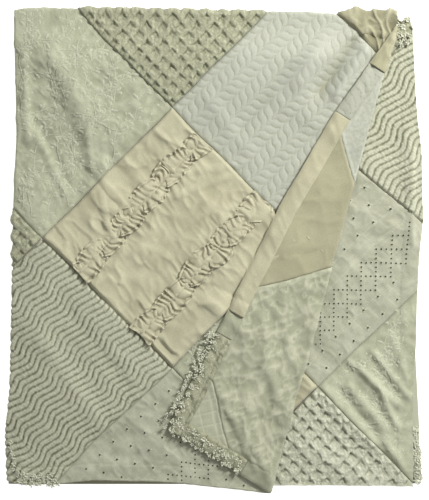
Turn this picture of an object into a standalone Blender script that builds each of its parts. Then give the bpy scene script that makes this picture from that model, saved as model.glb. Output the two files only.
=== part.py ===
import bpy
import numpy as np
from mathutils import Vector
from mathutils.bvhtree import BVHTree

for old in list(bpy.data.objects):
    bpy.data.objects.remove(old, do_unlink=True)

# A patchwork bedspread folded in four, lying flat. +X runs across the folded
# stack, +Y to the fold at its head, +Z up. All sizes are in metres.
SHEET = 0.002  # thickness of the one cloth
PITCH = 0.006  # middle of one folded layer to the middle of the next
HEAD_RADIUS = 0.006  # the double fold at the head, to its middle
HEAD_LINE = 0.5215  # outermost line of the head fold
LONG = 1.040  # head fold to bottom hem
SIDE_START = -0.441  # left fold, before its own unevenness
LOOSE = 0.003  # extra height of the two upper layers, away from the head
FADE_FROM, FADE_OVER = 0.020, 0.090  # where that extra height comes in
TURN_RADIUS = 0.003  # the corner of the front layer turned over to the left
TUCK_RADIUS = 0.002  # the layer under it turned under

# The slanted lines along which the two upper layers turn: a point, and how far
# the line moves to the left for each metre down.
TURN_AT, TURN_DOWN, TURN_SLOPE = 0.4081, 0.007, 0.2715
TUCK_AT, TUCK_DOWN, TUCK_SLOPE = 0.3980, 0.032, 0.400

# Uneven edges. Columns: distance down from the head fold, offset or position.
LEFT_FOLD = (  # distance down, offset of the fold from SIDE_START
    (0.00, -0.002), (0.20, 0.003), (0.27, 0.004), (0.42, -0.003), (0.62, -0.004),
    (0.83, -0.009), (0.93, -0.019), (1.00, -0.016), (1.06, -0.012))
FRONT_HEM = (  # distance down, position of the side hem before it is turned over
    (0.00, 0.4037), (0.04, 0.4037), (0.20, 0.4110), (0.27, 0.4220), (0.50, 0.4257),
    (0.64, 0.4147), (0.76, 0.4037), (1.06, 0.3894))
BACK_HEM = (  # distance down, position of the side hem of the exposed layer
    (0.00, 0.4070), (0.03, 0.4300), (0.08, 0.4389), (0.24, 0.4488), (0.30, 0.4565),
    (0.45, 0.4600), (0.52, 0.4535), (0.63, 0.4480), (0.73, 0.4460), (0.83, 0.4382),
    (1.06, 0.4382))
UNDER_HEM = (  # distance down, position of the side hem of the lowest layer
    (0.00, 0.4037), (0.03, 0.4280), (0.10, 0.4350), (0.70, 0.4400), (0.95, 0.4490),
    (1.06, 0.4440))
FRONT_FOOT = (  # position across, extra length of the front layer at the bottom hem
    (-0.460, -0.010), (-0.420, 0.000), (-0.330, -0.003), (-0.280, -0.008),
    (-0.160, -0.008), (-0.065, -0.002), (0.054, 0.012), (0.122, 0.020), (0.400, 0.016))

# Main soft folds. Columns: start x, start y, end x, end y, half width, height.
FRONT_FOLDS = (
    (-0.430, 0.440, -0.280, 0.230, 0.036, -0.0018),
    (-0.395, 0.470, -0.240, 0.270, 0.034, 0.0035),
    (-0.440, 0.140, -0.365, 0.030, 0.034, 0.0040),
    (-0.420, -0.130, -0.300, -0.330, 0.040, 0.0030),
    (-0.330, -0.500, -0.200, -0.450, 0.030, 0.0035),
    (-0.250, 0.190, -0.235, 0.110, 0.028, 0.0030),
    (0.060, 0.060, -0.010, -0.150, 0.030, 0.0040),
    (0.120, 0.430, 0.010, 0.300, 0.050, 0.0030))
FLAP_FOLDS = (
    (0.345, 0.500, 0.300, 0.370, 0.030, 0.0065),
    (0.190, 0.200, 0.110, 0.050, 0.030, 0.0040),
    (0.060, -0.110, 0.150, -0.330, 0.034, 0.0050),
    (0.170, 0.010, 0.235, -0.240, 0.036, 0.0040),
    (0.045, -0.350, 0.125, -0.500, 0.026, 0.0065),
    (-0.080, -0.370, 0.080, -0.480, 0.028, 0.0030))
BACK_FOLDS = (
    (0.235, -0.290, 0.420, -0.485, 0.028, 0.0100),
    (0.290, -0.210, 0.415, -0.400, 0.026, 0.0085),
    (0.345, -0.175, 0.435, -0.330, 0.024, 0.0080),
    (0.425, 0.250, 0.432, 0.010, 0.018, 0.0040),
    (0.330, 0.200, 0.400, 0.060, 0.034, 0.0035),
    (0.210, -0.440, 0.330, -0.505, 0.026, 0.0050))

# The two gathered ruffles sewn on one patch. Columns: start x, start y, end x, end y.
RUFFLES = {
    "ruffle_upper": (-0.029, 0.245, -0.300, -0.050),
    "ruffle_lower": (0.107, 0.113, -0.164, -0.186)}
RUFFLE_WIDE = 0.056
RUFFLE_SHEET = 0.0015
RUFFLE_PUFF = 0.009  # how high the gathered lobes stand
RUFFLE_LOBES = 5.5
SEWN_GAP = 0.0003

COLOURS = {
    "spread": (0.47, 0.47, 0.34),
    "ruffle_upper": (0.50, 0.48, 0.33),
    "ruffle_lower": (0.50, 0.48, 0.33)}


def along(table, at):
    rows = np.array(table)
    return np.interp(at, rows[:, 0], rows[:, 1])


def ease(t):
    t = np.clip(t, 0, 1)
    return t * t * (3 - 2 * t)


def folds(table, x, y):
    """Sum of soft ridges and troughs, each fading out at its two ends."""
    total = np.zeros_like(x)
    for x0, y0, x1, y1, wide, high in table:
        run = np.hypot(x1 - x0, y1 - y0)
        dx, dy = (x1 - x0) / run, (y1 - y0) / run
        t = (x - x0) * dx + (y - y0) * dy
        off = (y - y0) * dx - (x - x0) * dy
        past = np.maximum(np.maximum(-t, t - run), 0)
        total += high * np.exp(-(off / wide) ** 2 - (past / (1.6 * wide)) ** 2)
    return total


def turned(x, down, at, at_down, slope, radius):
    """Turns what lies right of a slanted line back over it: new x, down, and how far over."""
    size = np.hypot(1, slope)
    tx, ty = -slope / size, 1 / size
    px, py = x - at, down - at_down
    t = px * tx + py * ty
    s = px * ty - py * tx
    arc = np.clip((s + radius) / radius, 0, np.pi)
    place = np.where(s < -radius, s, -radius + radius * np.sin(arc) - np.maximum(s + radius - np.pi * radius, 0))
    return at + t * tx + place * ty, at_down + t * ty - place * tx, (1 - np.cos(arc)) / 2


def cloth(a, b):
    """Where a point of the cloth lies. a is its distance from the left fold,
    positive on the outer half; b its distance from the head fold, positive on top."""
    outer, top = a > 0, b > 0
    reach = np.abs(a)
    angle = np.clip(a / (PITCH / 2), -np.pi / 2, np.pi / 2)
    offset = np.sin(angle) * PITCH / 2
    x = SIDE_START + along(LEFT_FOLD, np.abs(b)) + np.where(
        reach < np.pi * PITCH / 4, (1 - np.cos(angle)) * PITCH / 2, reach + (0.5 - np.pi / 4) * PITCH)
    down = np.abs(b)
    over = turned(x, down, TURN_AT, TURN_DOWN, TURN_SLOPE, TURN_RADIUS)
    under = turned(x, down, TUCK_AT, TUCK_DOWN, TUCK_SLOPE, TUCK_RADIUS)
    far = down > 0.022
    x, down, turn = [
        np.where(top & far & outer, o, np.where(top & far & ~outer, u, p))
        for o, u, p in zip(over, under, (x, down, np.zeros_like(x)))]
    bend = np.clip(np.where(top, down, -down) / HEAD_RADIUS, -np.pi / 2, np.pi / 2)
    flat = np.maximum(down - np.pi / 2 * HEAD_RADIUS, 0)
    y = HEAD_LINE - HEAD_RADIUS * (1 - np.cos(bend)) - flat + offset * np.cos(bend)
    z = HEAD_RADIUS * np.sin(bend) + offset * np.sin(bend)
    fade = ease((down - FADE_FROM) / FADE_OVER)
    front = LOOSE * fade + fade * folds(FRONT_FOLDS, x, y) * (offset + PITCH / 2) / PITCH
    flap = turn * (PITCH + fade * np.maximum(folds(FLAP_FOLDS, x, y), 0))
    tuck = -turn * (PITCH + LOOSE * fade) / 2
    z += np.where(top, front + np.where(outer, flap, tuck), 0)
    z += np.where(~top & ~outer, fade * folds(BACK_FOLDS, x, y) * ease((x - 0.05) / 0.1), 0)
    return np.stack([x, y, z], -1)


def half_columns(down, hem, at, at_down, slope, radius, before, across, after):
    """Places across one half of the cloth, closer together where it turns."""
    edge = SIDE_START + along(LEFT_FOLD, down)
    line = at - slope * (down - at_down) - edge
    width = hem - edge
    line = np.minimum(line, width - 0.034)
    bend = PITCH / 2 * np.pi / 2
    slanted = np.hypot(1, slope)
    first = line - 1.3 * radius * slanted
    last = line + (np.pi - 0.7) * radius * slanted
    return np.concatenate([
        bend + (first - bend) * np.linspace(0, 1, before + 1),
        first + (last - first) * np.linspace(0, 1, across + 1)[1:],
        last + (width - last) * np.linspace(0, 1, after + 1)[1:]])


def spread_grid():
    bend = HEAD_RADIUS * np.pi / 2
    top = bend + (LONG - bend) * np.linspace(0, 1, 30) ** 1.02
    under = bend + (LONG - bend) * np.linspace(0, 1, 17) ** 1.05
    head = bend * np.array([-2 / 3, -1 / 3, 0, 1 / 3, 2 / 3])
    downs = np.concatenate([-under[::-1], head, top])
    rows = []
    for b in downs:
        down = abs(b)
        outer_hem = along(FRONT_HEM if b > 0 else UNDER_HEM, down)
        inner_hem = along(BACK_HEM, down) if b <= 0 else min(along(BACK_HEM, down), 0.4070 + 0.15 * down)
        outer = half_columns(down, outer_hem, TURN_AT, TURN_DOWN, TURN_SLOPE, TURN_RADIUS, 15, 5, 6)
        inner = half_columns(down, inner_hem, TUCK_AT, TUCK_DOWN, TUCK_SLOPE, TUCK_RADIUS, 7, 4, 6)
        side = PITCH / 2 * np.pi / 2 * np.array([-2 / 3, -1 / 3, 0, 1 / 3, 2 / 3])
        a = np.concatenate([-inner[::-1], side, outer])
        x = SIDE_START + np.abs(a)
        foot = 1 + (along(FRONT_FOOT, x) / LONG) * ease((down - 0.5) / 0.5) * (a > 0) * (b > 0)
        rows.append(np.stack([a, b * foot], -1))
    return np.array(rows)


def solid_sheet(name, middle, thick):
    """A closed solid of one thickness about a grid of points."""
    du = np.gradient(middle, axis=1)
    dv = np.gradient(middle, axis=0)
    normal = np.cross(du, dv)
    normal /= np.linalg.norm(normal, axis=-1, keepdims=True)
    rows, columns = middle.shape[:2]
    points = np.concatenate([(middle + normal * thick / 2).reshape(-1, 3), (middle - normal * thick / 2).reshape(-1, 3)])
    index = np.arange(rows * columns).reshape(rows, columns)
    below = index + rows * columns
    faces = []
    for i in range(rows - 1):
        for j in range(columns - 1):
            a, b, c, d = index[i, j], index[i, j + 1], index[i + 1, j + 1], index[i + 1, j]
            faces += [(a, b, c), (a, c, d)]
            a, b, c, d = below[i, j], below[i + 1, j], below[i + 1, j + 1], below[i, j + 1]
            faces += [(a, b, c), (a, c, d)]
    for upper, lower in ((index[0], below[0]), (index[-1][::-1], below[-1][::-1]),
                         (index[::-1, 0], below[::-1, 0]), (index[:, -1], below[:, -1])):
        for k in range(len(upper) - 1):
            faces += [(upper[k + 1], upper[k], lower[k]), (upper[k + 1], lower[k], lower[k + 1])]
    return points, faces


def flat_underside(points, level):
    """The cloth rests on a flat surface, so its lowest faces lie in one plane."""
    low = points[:, 2] < level + 0.0002
    points[low, 2] = level
    return points


def made(name, points, faces):
    mesh = bpy.data.meshes.new(name)
    mesh.from_pydata([tuple(p) for p in points], [], [tuple(int(i) for i in f) for f in faces])
    mesh.update()
    obj = bpy.data.objects.new(name, mesh)
    bpy.context.scene.collection.objects.link(obj)
    material = bpy.data.materials.new(name)
    material.use_nodes = True
    shader = material.node_tree.nodes["Principled BSDF"]
    shader.inputs["Base Color"].default_value = (*COLOURS[name], 1)
    shader.inputs["Roughness"].default_value = 0.92
    mesh.materials.append(material)
    return obj


grid = spread_grid()
middle = cloth(grid[..., 0], grid[..., 1])
points, faces = solid_sheet("spread", middle, SHEET)
points = flat_underside(points, -(HEAD_RADIUS + PITCH / 2 + SHEET / 2))
low, high = points.min(axis=0), points.max(axis=0)
shift = -np.array([(low[0] + high[0]) / 2, (low[1] + high[1]) / 2, low[2]])
points = points + shift
made("spread", points, faces)

surface = BVHTree.FromPolygons([tuple(p) for p in points], faces)
for order, (name, (x0, y0, x1, y1)) in enumerate(RUFFLES.items()):
    run = np.hypot(x1 - x0, y1 - y0)
    dx, dy = (x1 - x0) / run, (y1 - y0) / run
    strip = []
    for t in np.linspace(0, 1, 45):
        row = []
        for k, side in enumerate((-1, -0.55, 0, 0.55, 1)):
            turn = 2 * np.pi * RUFFLE_LOBES * t + order * 1.3 + (0.9 if side > 0 else 0)
            swing = 0.13 * np.sin(turn) + 0.05 * np.sin(2.7 * turn + order)
            reach = side * RUFFLE_WIDE / 2 * (1 + (swing if abs(side) > 0.6 else 0))
            x, y = x0 + dx * run * t - dy * reach, y0 + dy * run * t + dx * reach
            puff = RUFFLE_PUFF * (0.5 + 0.5 * np.sin(1.0 * turn + 1.2 * side)) * (0, 1.0, 0.55)[[0, 0.55, 1].index(abs(side))]
            hit = surface.ray_cast(Vector((x + shift[0], y + shift[1], 1)), Vector((0, 0, -1)))[0]
            row.append((x + shift[0], y + shift[1], hit.z + SEWN_GAP + RUFFLE_SHEET / 2 + 0.0006 + puff))
        strip.append(row)
    made(name, *solid_sheet(name, np.array(strip)[:, ::-1], RUFFLE_SHEET))
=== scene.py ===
import math
import bmesh
import bpy
import numpy as np
from mathutils import Matrix, Vector


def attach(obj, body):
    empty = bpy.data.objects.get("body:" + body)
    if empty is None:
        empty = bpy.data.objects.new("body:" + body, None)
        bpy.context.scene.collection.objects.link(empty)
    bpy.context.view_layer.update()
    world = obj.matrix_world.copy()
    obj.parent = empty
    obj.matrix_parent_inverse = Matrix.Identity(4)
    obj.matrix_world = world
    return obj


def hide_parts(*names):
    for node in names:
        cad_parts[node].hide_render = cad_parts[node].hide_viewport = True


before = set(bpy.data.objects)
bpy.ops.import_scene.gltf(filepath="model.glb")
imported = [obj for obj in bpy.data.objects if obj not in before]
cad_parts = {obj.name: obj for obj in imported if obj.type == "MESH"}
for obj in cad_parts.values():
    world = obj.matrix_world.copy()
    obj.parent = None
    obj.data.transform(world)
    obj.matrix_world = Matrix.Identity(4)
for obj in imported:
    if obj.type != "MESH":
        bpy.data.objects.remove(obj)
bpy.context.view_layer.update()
print("frame loaded")

# The folded stack: +X across it, +Y to the fold at its head, +Z up, all in metres.
stack = {
    "shift": (0.00136, 0.004558, 0.010),  # from the folding lines' own origin to the frame's
    "pitch": 0.006,            # one folded layer to the next
    "headRadius": 0.006,       # sets where the head fold starts
    "headBend": 0.003,         # the bend of the cloth at the head
    "headLine": 0.5215,
    "long": 1.040,
    "sideStart": -0.441,
    "loose": 0.003,            # the upper layers stand this much higher away from the head
    "fade": (0.020, 0.090),
    "turn": (0.4081, 0.007, 0.2715, 0.003),   # slanted fold of the front layer: x, down, slope, radius
    "tuck": (0.3980, 0.032, 0.400, 0.002),    # and of the hidden layer under it
    "hem": 0.037,              # width of the turned hem
    "blocks": 0.4045,          # side of one patch
}

# Uneven edges: distance down from the head, then an offset for the left fold and a place for the hems.
leftFold = ((0.00, -0.002), (0.20, 0.003), (0.27, 0.004), (0.42, -0.003), (0.62, -0.004),
            (0.83, -0.009), (0.93, -0.019), (1.00, -0.016), (1.06, -0.012))
backHem = ((0.00, 0.4250), (0.03, 0.4380), (0.08, 0.4400), (0.24, 0.4488), (0.30, 0.4565),
           (0.45, 0.4600), (0.52, 0.4535), (0.63, 0.4480), (0.73, 0.4460), (0.83, 0.4382),
           (1.06, 0.4382))
underHem = ((0.00, 0.4037), (0.03, 0.4280), (0.10, 0.4350), (0.70, 0.4440), (0.93, 0.4560),
            (1.00, 0.4560), (1.06, 0.4440))
# Along the foot, and along the head: place across, how much longer.
frontFoot = ((-0.460, -0.010), (-0.420, 0.000), (-0.330, -0.003), (-0.280, -0.008),
             (-0.160, -0.008), (-0.065, -0.002), (0.054, 0.012), (0.122, 0.020), (0.400, 0.016))
headEdge = ((-0.450, 0.006), (-0.415, 0.011), (-0.330, 0.011), (-0.250, 0.009), (-0.100, 0.006),
            (0.060, 0.003), (0.200, 0.002), (0.270, -0.003), (0.298, 0.002), (0.316, 0.010),
            (0.336, 0.001), (0.372, 0.004), (0.395, 0.003), (0.412, -0.004), (0.430, 0.001),
            (0.445, -0.006))

# Soft folds, listed: start x, start y, end x, end y, half width, height.
frontFolds = (
    (0.314, 0.480, 0.234, 0.352, 0.013, -0.0110),
    (0.262, 0.492, 0.190, 0.376, 0.020, 0.0090),
    (0.338, 0.452, 0.270, 0.345, 0.011, 0.0090),
    (0.298, 0.472, 0.331, 0.486, 0.0050, 0.0060),
    (0.331, 0.486, 0.372, 0.478, 0.0050, 0.0060),
    (0.303, 0.462, 0.331, 0.476, 0.0045, -0.0060),
    (0.331, 0.476, 0.368, 0.468, 0.0045, -0.0060),
    (0.300, 0.500, 0.330, 0.440, 0.010, 0.0045),
    (0.322, 0.500, 0.352, 0.468, 0.006, -0.0050),
    (0.345, 0.515, 0.372, 0.485, 0.008, 0.0060),
    (0.210, 0.420, 0.120, 0.310, 0.016, 0.0025),
    (0.150, 0.400, 0.060, 0.270, 0.014, -0.0025),
    (-0.010, 0.330, 0.080, 0.210, 0.018, 0.0025),
    (-0.352, 0.430, -0.300, 0.300, 0.022, 0.0030),
    (-0.300, 0.330, -0.258, 0.190, 0.020, 0.0030),
    (-0.330, 0.470, -0.240, 0.400, 0.020, 0.0025),
    (-0.425, 0.470, -0.412, 0.250, 0.010, 0.0035),
    (-0.400, 0.300, -0.330, 0.160, 0.014, -0.0030),
    (-0.390, 0.250, -0.330, 0.130, 0.010, 0.0035),
    (-0.210, 0.200, -0.130, 0.120, 0.012, 0.0025),
    (-0.170, 0.240, -0.060, 0.130, 0.010, -0.0020),
    (-0.160, 0.000, -0.060, -0.110, 0.010, 0.0025),
    (-0.050, 0.130, 0.040, 0.050, 0.012, 0.0025),
    (-0.020, -0.110, 0.060, -0.180, 0.012, 0.0030),
    (0.000, -0.080, 0.075, -0.120, 0.007, -0.0020),
    (-0.360, 0.000, -0.190, -0.230, 0.075, 0.0050),
    (-0.380, -0.200, -0.250, -0.380, 0.016, 0.0020),
    (-0.330, -0.120, -0.200, -0.290, 0.016, -0.0020),
    (-0.160, -0.400, -0.060, -0.490, 0.014, 0.0025),
    (-0.130, -0.330, -0.040, -0.430, 0.010, -0.0018),
    (-0.430, 0.440, -0.280, 0.230, 0.036, -0.0018),
    (-0.395, 0.470, -0.240, 0.270, 0.034, 0.0035),
    (-0.440, 0.140, -0.365, 0.030, 0.034, 0.0040),
    (-0.420, -0.130, -0.300, -0.330, 0.040, 0.0030),
    (-0.330, -0.500, -0.200, -0.450, 0.030, 0.0035),
    (-0.250, 0.190, -0.235, 0.110, 0.028, 0.0030),
    (0.060, 0.060, -0.010, -0.150, 0.030, 0.0040),
    (0.120, 0.430, 0.010, 0.300, 0.050, 0.0030),
    (-0.428, 0.300, -0.370, 0.420, 0.014, 0.0016),
    (-0.277, 0.250, -0.270, 0.160, 0.010, 0.0022),
    (-0.246, 0.240, -0.240, 0.172, 0.009, 0.0018),
    (-0.281, 0.176, -0.214, 0.099, 0.0065, -0.0018),
    (-0.272, 0.182, -0.206, 0.106, 0.0080, 0.0014),
    (-0.132, 0.001, -0.008, 0.097, 0.0075, 0.0034),
    (-0.250, 0.120, -0.235, 0.060, 0.0060, 0.0026),
    (-0.060, 0.170, 0.060, 0.190, 0.0080, 0.0026),
    (-0.080, 0.120, 0.030, 0.160, 0.0070, 0.0024),
    (-0.120, 0.030, -0.020, 0.110, 0.010, 0.0012),
    (-0.060, -0.060, 0.050, 0.060, 0.009, 0.0014),
    (0.128, 0.070, 0.075, -0.030, 0.010, -0.0022),
    (0.105, 0.090, 0.050, -0.020, 0.009, 0.0030),
    (0.075, -0.030, 0.020, -0.130, 0.010, -0.0022),
    (-0.300, -0.512, -0.255, -0.478, 0.008, 0.0024),
    (-0.262, -0.515, -0.222, -0.470, 0.007, 0.0024),
    (-0.236, -0.512, -0.200, -0.474, 0.006, 0.0018))
flapFolds = (
    (0.385, 0.505, 0.356, 0.440, 0.010, 0.0060),
    (0.372, 0.470, 0.335, 0.452, 0.006, 0.0060),
    (0.360, 0.450, 0.325, 0.425, 0.007, 0.0045),
    (0.350, 0.500, 0.372, 0.485, 0.006, 0.0050),
    (0.110, -0.250, 0.175, -0.400, 0.012, 0.0030),
    (0.060, -0.300, 0.100, -0.440, 0.011, 0.0030),
    (0.160, -0.200, 0.200, -0.330, 0.010, 0.0030),
    (0.120, -0.120, 0.165, -0.170, 0.010, 0.0025),
    (0.020, -0.330, 0.090, -0.480, 0.007, 0.0035),
    (0.345, 0.500, 0.300, 0.370, 0.030, 0.0065),
    (0.190, 0.200, 0.110, 0.050, 0.030, 0.0040),
    (0.060, -0.110, 0.150, -0.330, 0.034, 0.0050),
    (0.170, 0.010, 0.235, -0.240, 0.036, 0.0040),
    (0.045, -0.350, 0.125, -0.500, 0.026, 0.0065),
    (-0.080, -0.370, 0.080, -0.480, 0.028, 0.0030),
    (0.068, -0.405, 0.120, -0.500, 0.010, 0.0045),
    (0.175, 0.135, 0.200, 0.195, 0.006, 0.0016),
    (0.182, 0.120, 0.214, 0.180, 0.006, 0.0013),
    (0.060, -0.120, 0.075, -0.330, 0.010, 0.0018),
    (0.105, -0.140, 0.140, -0.360, 0.009, 0.0016),
    (0.150, -0.100, 0.110, -0.240, 0.010, 0.0016),
    (0.170, -0.180, 0.120, -0.420, 0.010, 0.0014))
backFolds = (
    (0.235, -0.290, 0.420, -0.485, 0.030, 0.0040),
    (0.252, -0.320, 0.352, -0.430, 0.0115, 0.0060),
    (0.302, -0.305, 0.372, -0.392, 0.0105, 0.0058),
    (0.276, -0.312, 0.350, -0.400, 0.0080, -0.0030),
    (0.330, -0.270, 0.400, -0.340, 0.0090, 0.0055),
    (0.365, -0.310, 0.400, -0.385, 0.0080, 0.0060),
    (0.352, -0.230, 0.425, -0.320, 0.0080, 0.0050),
    (0.300, -0.250, 0.360, -0.300, 0.0070, 0.0030),
    (0.375, -0.420, 0.415, -0.480, 0.0090, 0.0050),
    (0.290, -0.210, 0.415, -0.400, 0.026, 0.0030),
    (0.425, 0.250, 0.432, 0.010, 0.018, 0.0040),
    (0.330, 0.200, 0.400, 0.060, 0.034, 0.0035),
    (0.210, -0.440, 0.330, -0.505, 0.026, 0.0050),
    (0.436, 0.220, 0.438, 0.010, 0.006, 0.0030),
    (0.300, 0.105, 0.370, 0.050, 0.012, 0.0014),
    (0.395, -0.200, 0.425, -0.280, 0.009, 0.0028))

shelves = (  # the front sinks to the left of these lines: x, y at both ends, how softly, how far
    (-0.410, 0.500, -0.262, 0.175, 0.036, 0.0100),
    (-0.405, 0.180, -0.412, -0.420, 0.020, 0.0045),
    (0.215, 0.480, 0.120, 0.330, 0.020, 0.0040))


def along(table, at):
    rows = np.array(table)
    return np.interp(at, rows[:, 0], rows[:, 1])


def ease(t):
    t = np.clip(t, 0, 1)
    return t * t * (3 - 2 * t)


def softFolds(table, x, y):
    total = np.zeros_like(x)
    for x0, y0, x1, y1, wide, high in table:
        run = math.hypot(x1 - x0, y1 - y0)
        dx, dy = (x1 - x0) / run, (y1 - y0) / run
        t = (x - x0) * dx + (y - y0) * dy
        off = (y - y0) * dx - (x - x0) * dy
        past = np.maximum(np.maximum(-t, t - run), 0)
        total += high * np.exp(-(off / wide) ** 2 - (past / (1.6 * wide)) ** 2)
    return total


def shelf(x, y):
    total = np.zeros_like(x)
    for x0, y0, x1, y1, soft, high in shelves:
        run = math.hypot(x1 - x0, y1 - y0)
        dx, dy = (x1 - x0) / run, (y1 - y0) / run
        t = ((x - x0) * dx + (y - y0) * dy) / run
        off = (y - y0) * dx - (x - x0) * dy
        total += high * 0.5 * (1 + np.tanh(off / soft)) * ease(t / 0.25 + 0.5) * ease((1 - t) / 0.25 + 0.5)
    return total


randomTable = np.random.default_rng(11).random((257, 257))


def mottle(x, y, size, seed=0):
    # smooth noise from 0 to 1, its spots about this size across
    u, v = x / size + 31.7 * seed + 512, y / size + 17.3 * seed + 512
    i, j = np.floor(u).astype(int), np.floor(v).astype(int)
    s, t = ease(u - i), ease(v - j)
    i, j = i % 256, j % 256
    top = randomTable[i, j] * (1 - s) + randomTable[i + 1, j] * s
    low = randomTable[i, j + 1] * (1 - s) + randomTable[i + 1, j + 1] * s
    return top * (1 - t) + low * t


def turnOver(x, down, line):
    # what lies right of the slanted line goes back over it: new x, down, how far over
    at, atDown, slope, radius = line
    size = math.hypot(1, slope)
    tx, ty = -slope / size, 1 / size
    t = (x - at) * tx + (down - atDown) * ty
    s = (x - at) * ty - (down - atDown) * tx
    arc = np.clip((s + radius) / radius, 0, np.pi)
    place = np.where(s < -radius, s, radius * (np.sin(arc) - 1) - np.maximum(s + radius - np.pi * radius, 0))
    return at + t * tx + place * ty, atDown + t * ty - place * tx, (1 - np.cos(arc)) / 2


def clothPoint(a, b):
    # a is the distance from the left fold, positive on the outer half;
    # b the distance from the head fold, positive on top
    pitch, radius = stack["pitch"], stack["headBend"]
    outer, top = a > 0, b > 0
    reach, down = np.abs(a), np.abs(b)
    angle = np.clip(a / (pitch / 2), -np.pi / 2, np.pi / 2)
    offset = np.sin(angle) * pitch / 2
    x = stack["sideStart"] + along(leftFold, down) + np.where(
        reach < np.pi * pitch / 4, (1 - np.cos(angle)) * pitch / 2, reach + (0.5 - np.pi / 4) * pitch)
    at, atDown, slope = stack["turn"][:3]
    settled = ease(((x - at) + slope * (down - atDown)) / 0.045)
    over = turnOver(x, down, stack["turn"])
    under = turnOver(x, down, stack["tuck"])
    far = down > 0.022
    x, down, turn = [
        np.where(top & far & outer, o, np.where(top & far & ~outer, u, p))
        for o, u, p in zip(over, under, (x, down, np.zeros_like(x)))]
    bend = np.clip(np.where(top, down, -down) / radius, -np.pi / 2, np.pi / 2)
    flat = np.maximum(down - np.pi / 2 * radius, 0)
    y = (stack["headLine"] + along(headEdge, x) * (1 - ease(np.abs(down) / 0.08))
         - radius * (1 - np.cos(bend)) - flat + offset * np.cos(bend))
    z = radius * np.sin(bend) + offset * np.sin(bend)
    fade = ease((down - stack["fade"][0]) / stack["fade"][1])
    ripple = 0.0022 * (mottle(x, y, 0.070, 2) - 0.35) + 0.0010 * (mottle(x, y, 0.026, 3) - 0.4)
    front = stack["loose"] * fade * ease(reach / 0.035)
    front += fade * (softFolds(frontFolds, x, y) + shelf(x, y) + ripple) * (offset + pitch / 2) / pitch
    flap = turn * (pitch * (1 - 0.42 * settled) + fade * 0.8 * softFolds(flapFolds, x, y))
    tuck = -turn * (pitch + stack["loose"] * fade) / 2
    z += np.where(top, front + np.where(outer, flap, tuck), 0)
    shown = fade * ease((x - 0.05) / 0.1)
    z += np.where(~top & ~outer, shown * (softFolds(backFolds, x, y) + np.maximum(ripple, 0)), 0)
    return np.stack([x, y, z], -1)


def onCloth(a, b, lift):
    # places points over the cloth, lift metres to its right side, in the frame's axes
    e = 0.0004
    here = clothPoint(a, b)
    across = clothPoint(a + e, b) - clothPoint(a - e, b)
    length = clothPoint(a, b + e) - clothPoint(a, b - e)
    normal = np.cross(length, across)
    normal /= np.maximum(np.linalg.norm(normal, axis=-1, keepdims=True), 1e-12)
    points = here + normal * np.asarray(lift)[..., None] + np.array(stack["shift"])
    points[..., 2] = np.maximum(points[..., 2], 0.0006)
    return points


def toCloth(x, y, layer):
    # from a place on the flat layer, before its corner is turned over, to the cloth
    x, y = x + 0.0040 * (mottle(x, y, 0.075, 91) - 0.5), y + 0.0040 * (mottle(x, y, 0.075, 92) - 0.5)
    down = stack["headLine"] + (np.pi / 2 - 1) * stack["headRadius"] - y
    if layer != "back":
        down = down + along(frontFoot, x) * ease((down - 0.72) / 0.30)
    else:
        x = x + (along(backHem, np.abs(down)) - backEdge) * ease((x - 0.30) / (backEdge - 0.30))
    a = x - stack["sideStart"] - along(leftFold, np.abs(down)) + (np.pi / 4 - 0.5) * stack["pitch"]
    return (a, down) if layer == "front" else (a, -down) if layer == "lowest" else (-a, -down)


backEdge = 0.4400   # side hem of the exposed layer before its unevenness
footLine = -0.5150  # bottom hem of the front layer before its unevenness
backFoot = -0.5190


class Value:
    # a shader socket that takes part in sums
    def __init__(self, shade, socket):
        self.shade, self.socket = shade, socket

    def math(self, operation, other):
        return self.shade.node("ShaderNodeMath", {"operation": operation}, {0: self, 1: other})

    def __add__(self, other):
        return self.math("ADD", other)

    def __mul__(self, other):
        return self.math("MULTIPLY", other)

    __radd__, __rmul__ = __add__, __mul__


class Shade:
    def __init__(self, name):
        self.material = bpy.data.materials.new(name)
        self.material.use_nodes = True
        self.tree = self.material.node_tree
        self.surface = self.tree.nodes["Principled BSDF"]

    def feed(self, socket, value):
        if isinstance(value, Value):
            self.tree.links.new(value.socket, socket)
        else:
            socket.default_value = value

    def node(self, kind, settings, sockets, output=0):
        made = self.tree.nodes.new(kind)
        for key, value in settings.items():
            setattr(made, key, value)
        for key, value in sockets.items():
            self.feed(made.inputs[key], value)
        return Value(self, made.outputs[output])

    def mix(self, amount, first, second, blend="MIX"):
        return self.node("ShaderNodeMix", {"data_type": "RGBA", "blend_type": blend},
                         {0: amount, 6: first, 7: second}, 2)

    def noise(self, place, scale, detail=3.0, rough=0.6):
        return self.node("ShaderNodeTexNoise", {}, {
            "Vector": place, "Scale": scale, "Detail": detail, "Roughness": rough})

    def finish(self, colour, roughness, bump):
        self.feed(self.surface.inputs["Base Color"], colour)
        self.feed(self.surface.inputs["Roughness"], roughness)
        self.feed(self.surface.inputs["Normal"], bump)
        return self.material


def colour(r, g, b):
    return (r, g, b, 1.0)


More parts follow.
